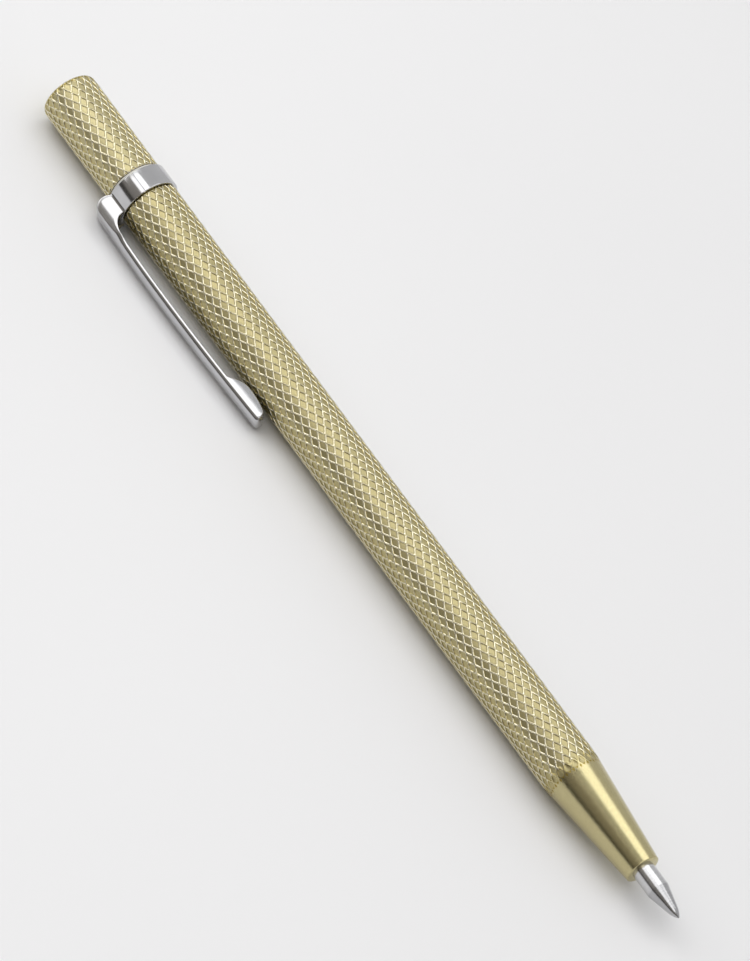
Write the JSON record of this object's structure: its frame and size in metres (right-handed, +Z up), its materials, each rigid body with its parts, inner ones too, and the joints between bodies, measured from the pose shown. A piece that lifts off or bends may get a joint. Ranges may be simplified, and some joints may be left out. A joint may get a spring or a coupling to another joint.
{
  "type": "scriber",
  "caption": "Slim pen-shaped metal scriber: knurled brass barrel with smooth tapered nose, ground carbide point, knurled screw-on rear cap and a plated spring pocket clip on a ring.",
  "frame": {"origin": "centre of the resting box's footprint: middle of the length, on the bench surface", "axes": "+X along the pen's axis towards the point, +Z up from the bench; the clip leans towards -Y and down, as the pen comes to rest"},
  "size_m": [0.1426, 0.0112, 0.0087],
  "materials": {
    "barrel_brass": "diamond-knurled satin brass, smooth satin nose",
    "cap_brass": "diamond-knurled satin brass",
    "band_chrome": "bright nickel-chrome plate",
    "arm_chrome": "bright nickel-chrome plate",
    "carbide": "ground and polished tungsten carbide",
    "holder_steel": "turned steel",
    "screw_steel": "black-oxide steel",
    "stud_steel": "turned and threaded steel",
    "washer_nylon": "natural nylon"
  },
  "bodies": {
    "barrel": {"barrel": "barrel_brass", "carbide_point": "carbide", "point_holder": "holder_steel", "backing_screw": "screw_steel"},
    "washer": {"cap_washer": "washer_nylon"},
    "cap": {"rear_cap": "cap_brass", "cap_stud": "stud_steel"},
    "clip": {"clip_band": "band_chrome"},
    "clip_spring": {"clip_arm": "arm_chrome"}
  },
  "joints": [
    {"name": "cap_turn", "type": "hinge", "parent": "washer", "child": "cap", "pos_m": [-0.0713, 0.00132, 0.00433], "axis": [-1, 0, 0], "range_deg": [0, 3330]},
    {"name": "cap_travel", "type": "slide", "parent": "barrel", "child": "washer", "axis": [-1, 0, 0], "range_m": [0, 0.00925]},
    {"name": "clip_swivel", "type": "hinge", "parent": "barrel", "child": "clip", "pos_m": [-0.05285, 0.00132, 0.00433], "axis": [1, 0, 0], "continuous": true},
    {"name": "clip_flex", "type": "hinge", "parent": "clip", "child": "clip_spring", "pos_m": [-0.0473, -0.00452, 0.00151], "axis": [0, 0.4347, -0.9006], "range_deg": [0, 5], "stiffness_Nm_per_rad": 0.2, "springref_deg": -2.86}
  ],
  "couplings": [
    {"joint": "cap_turn", "follows": "cap_travel", "rad_per_m": 6283.2}
  ]
}
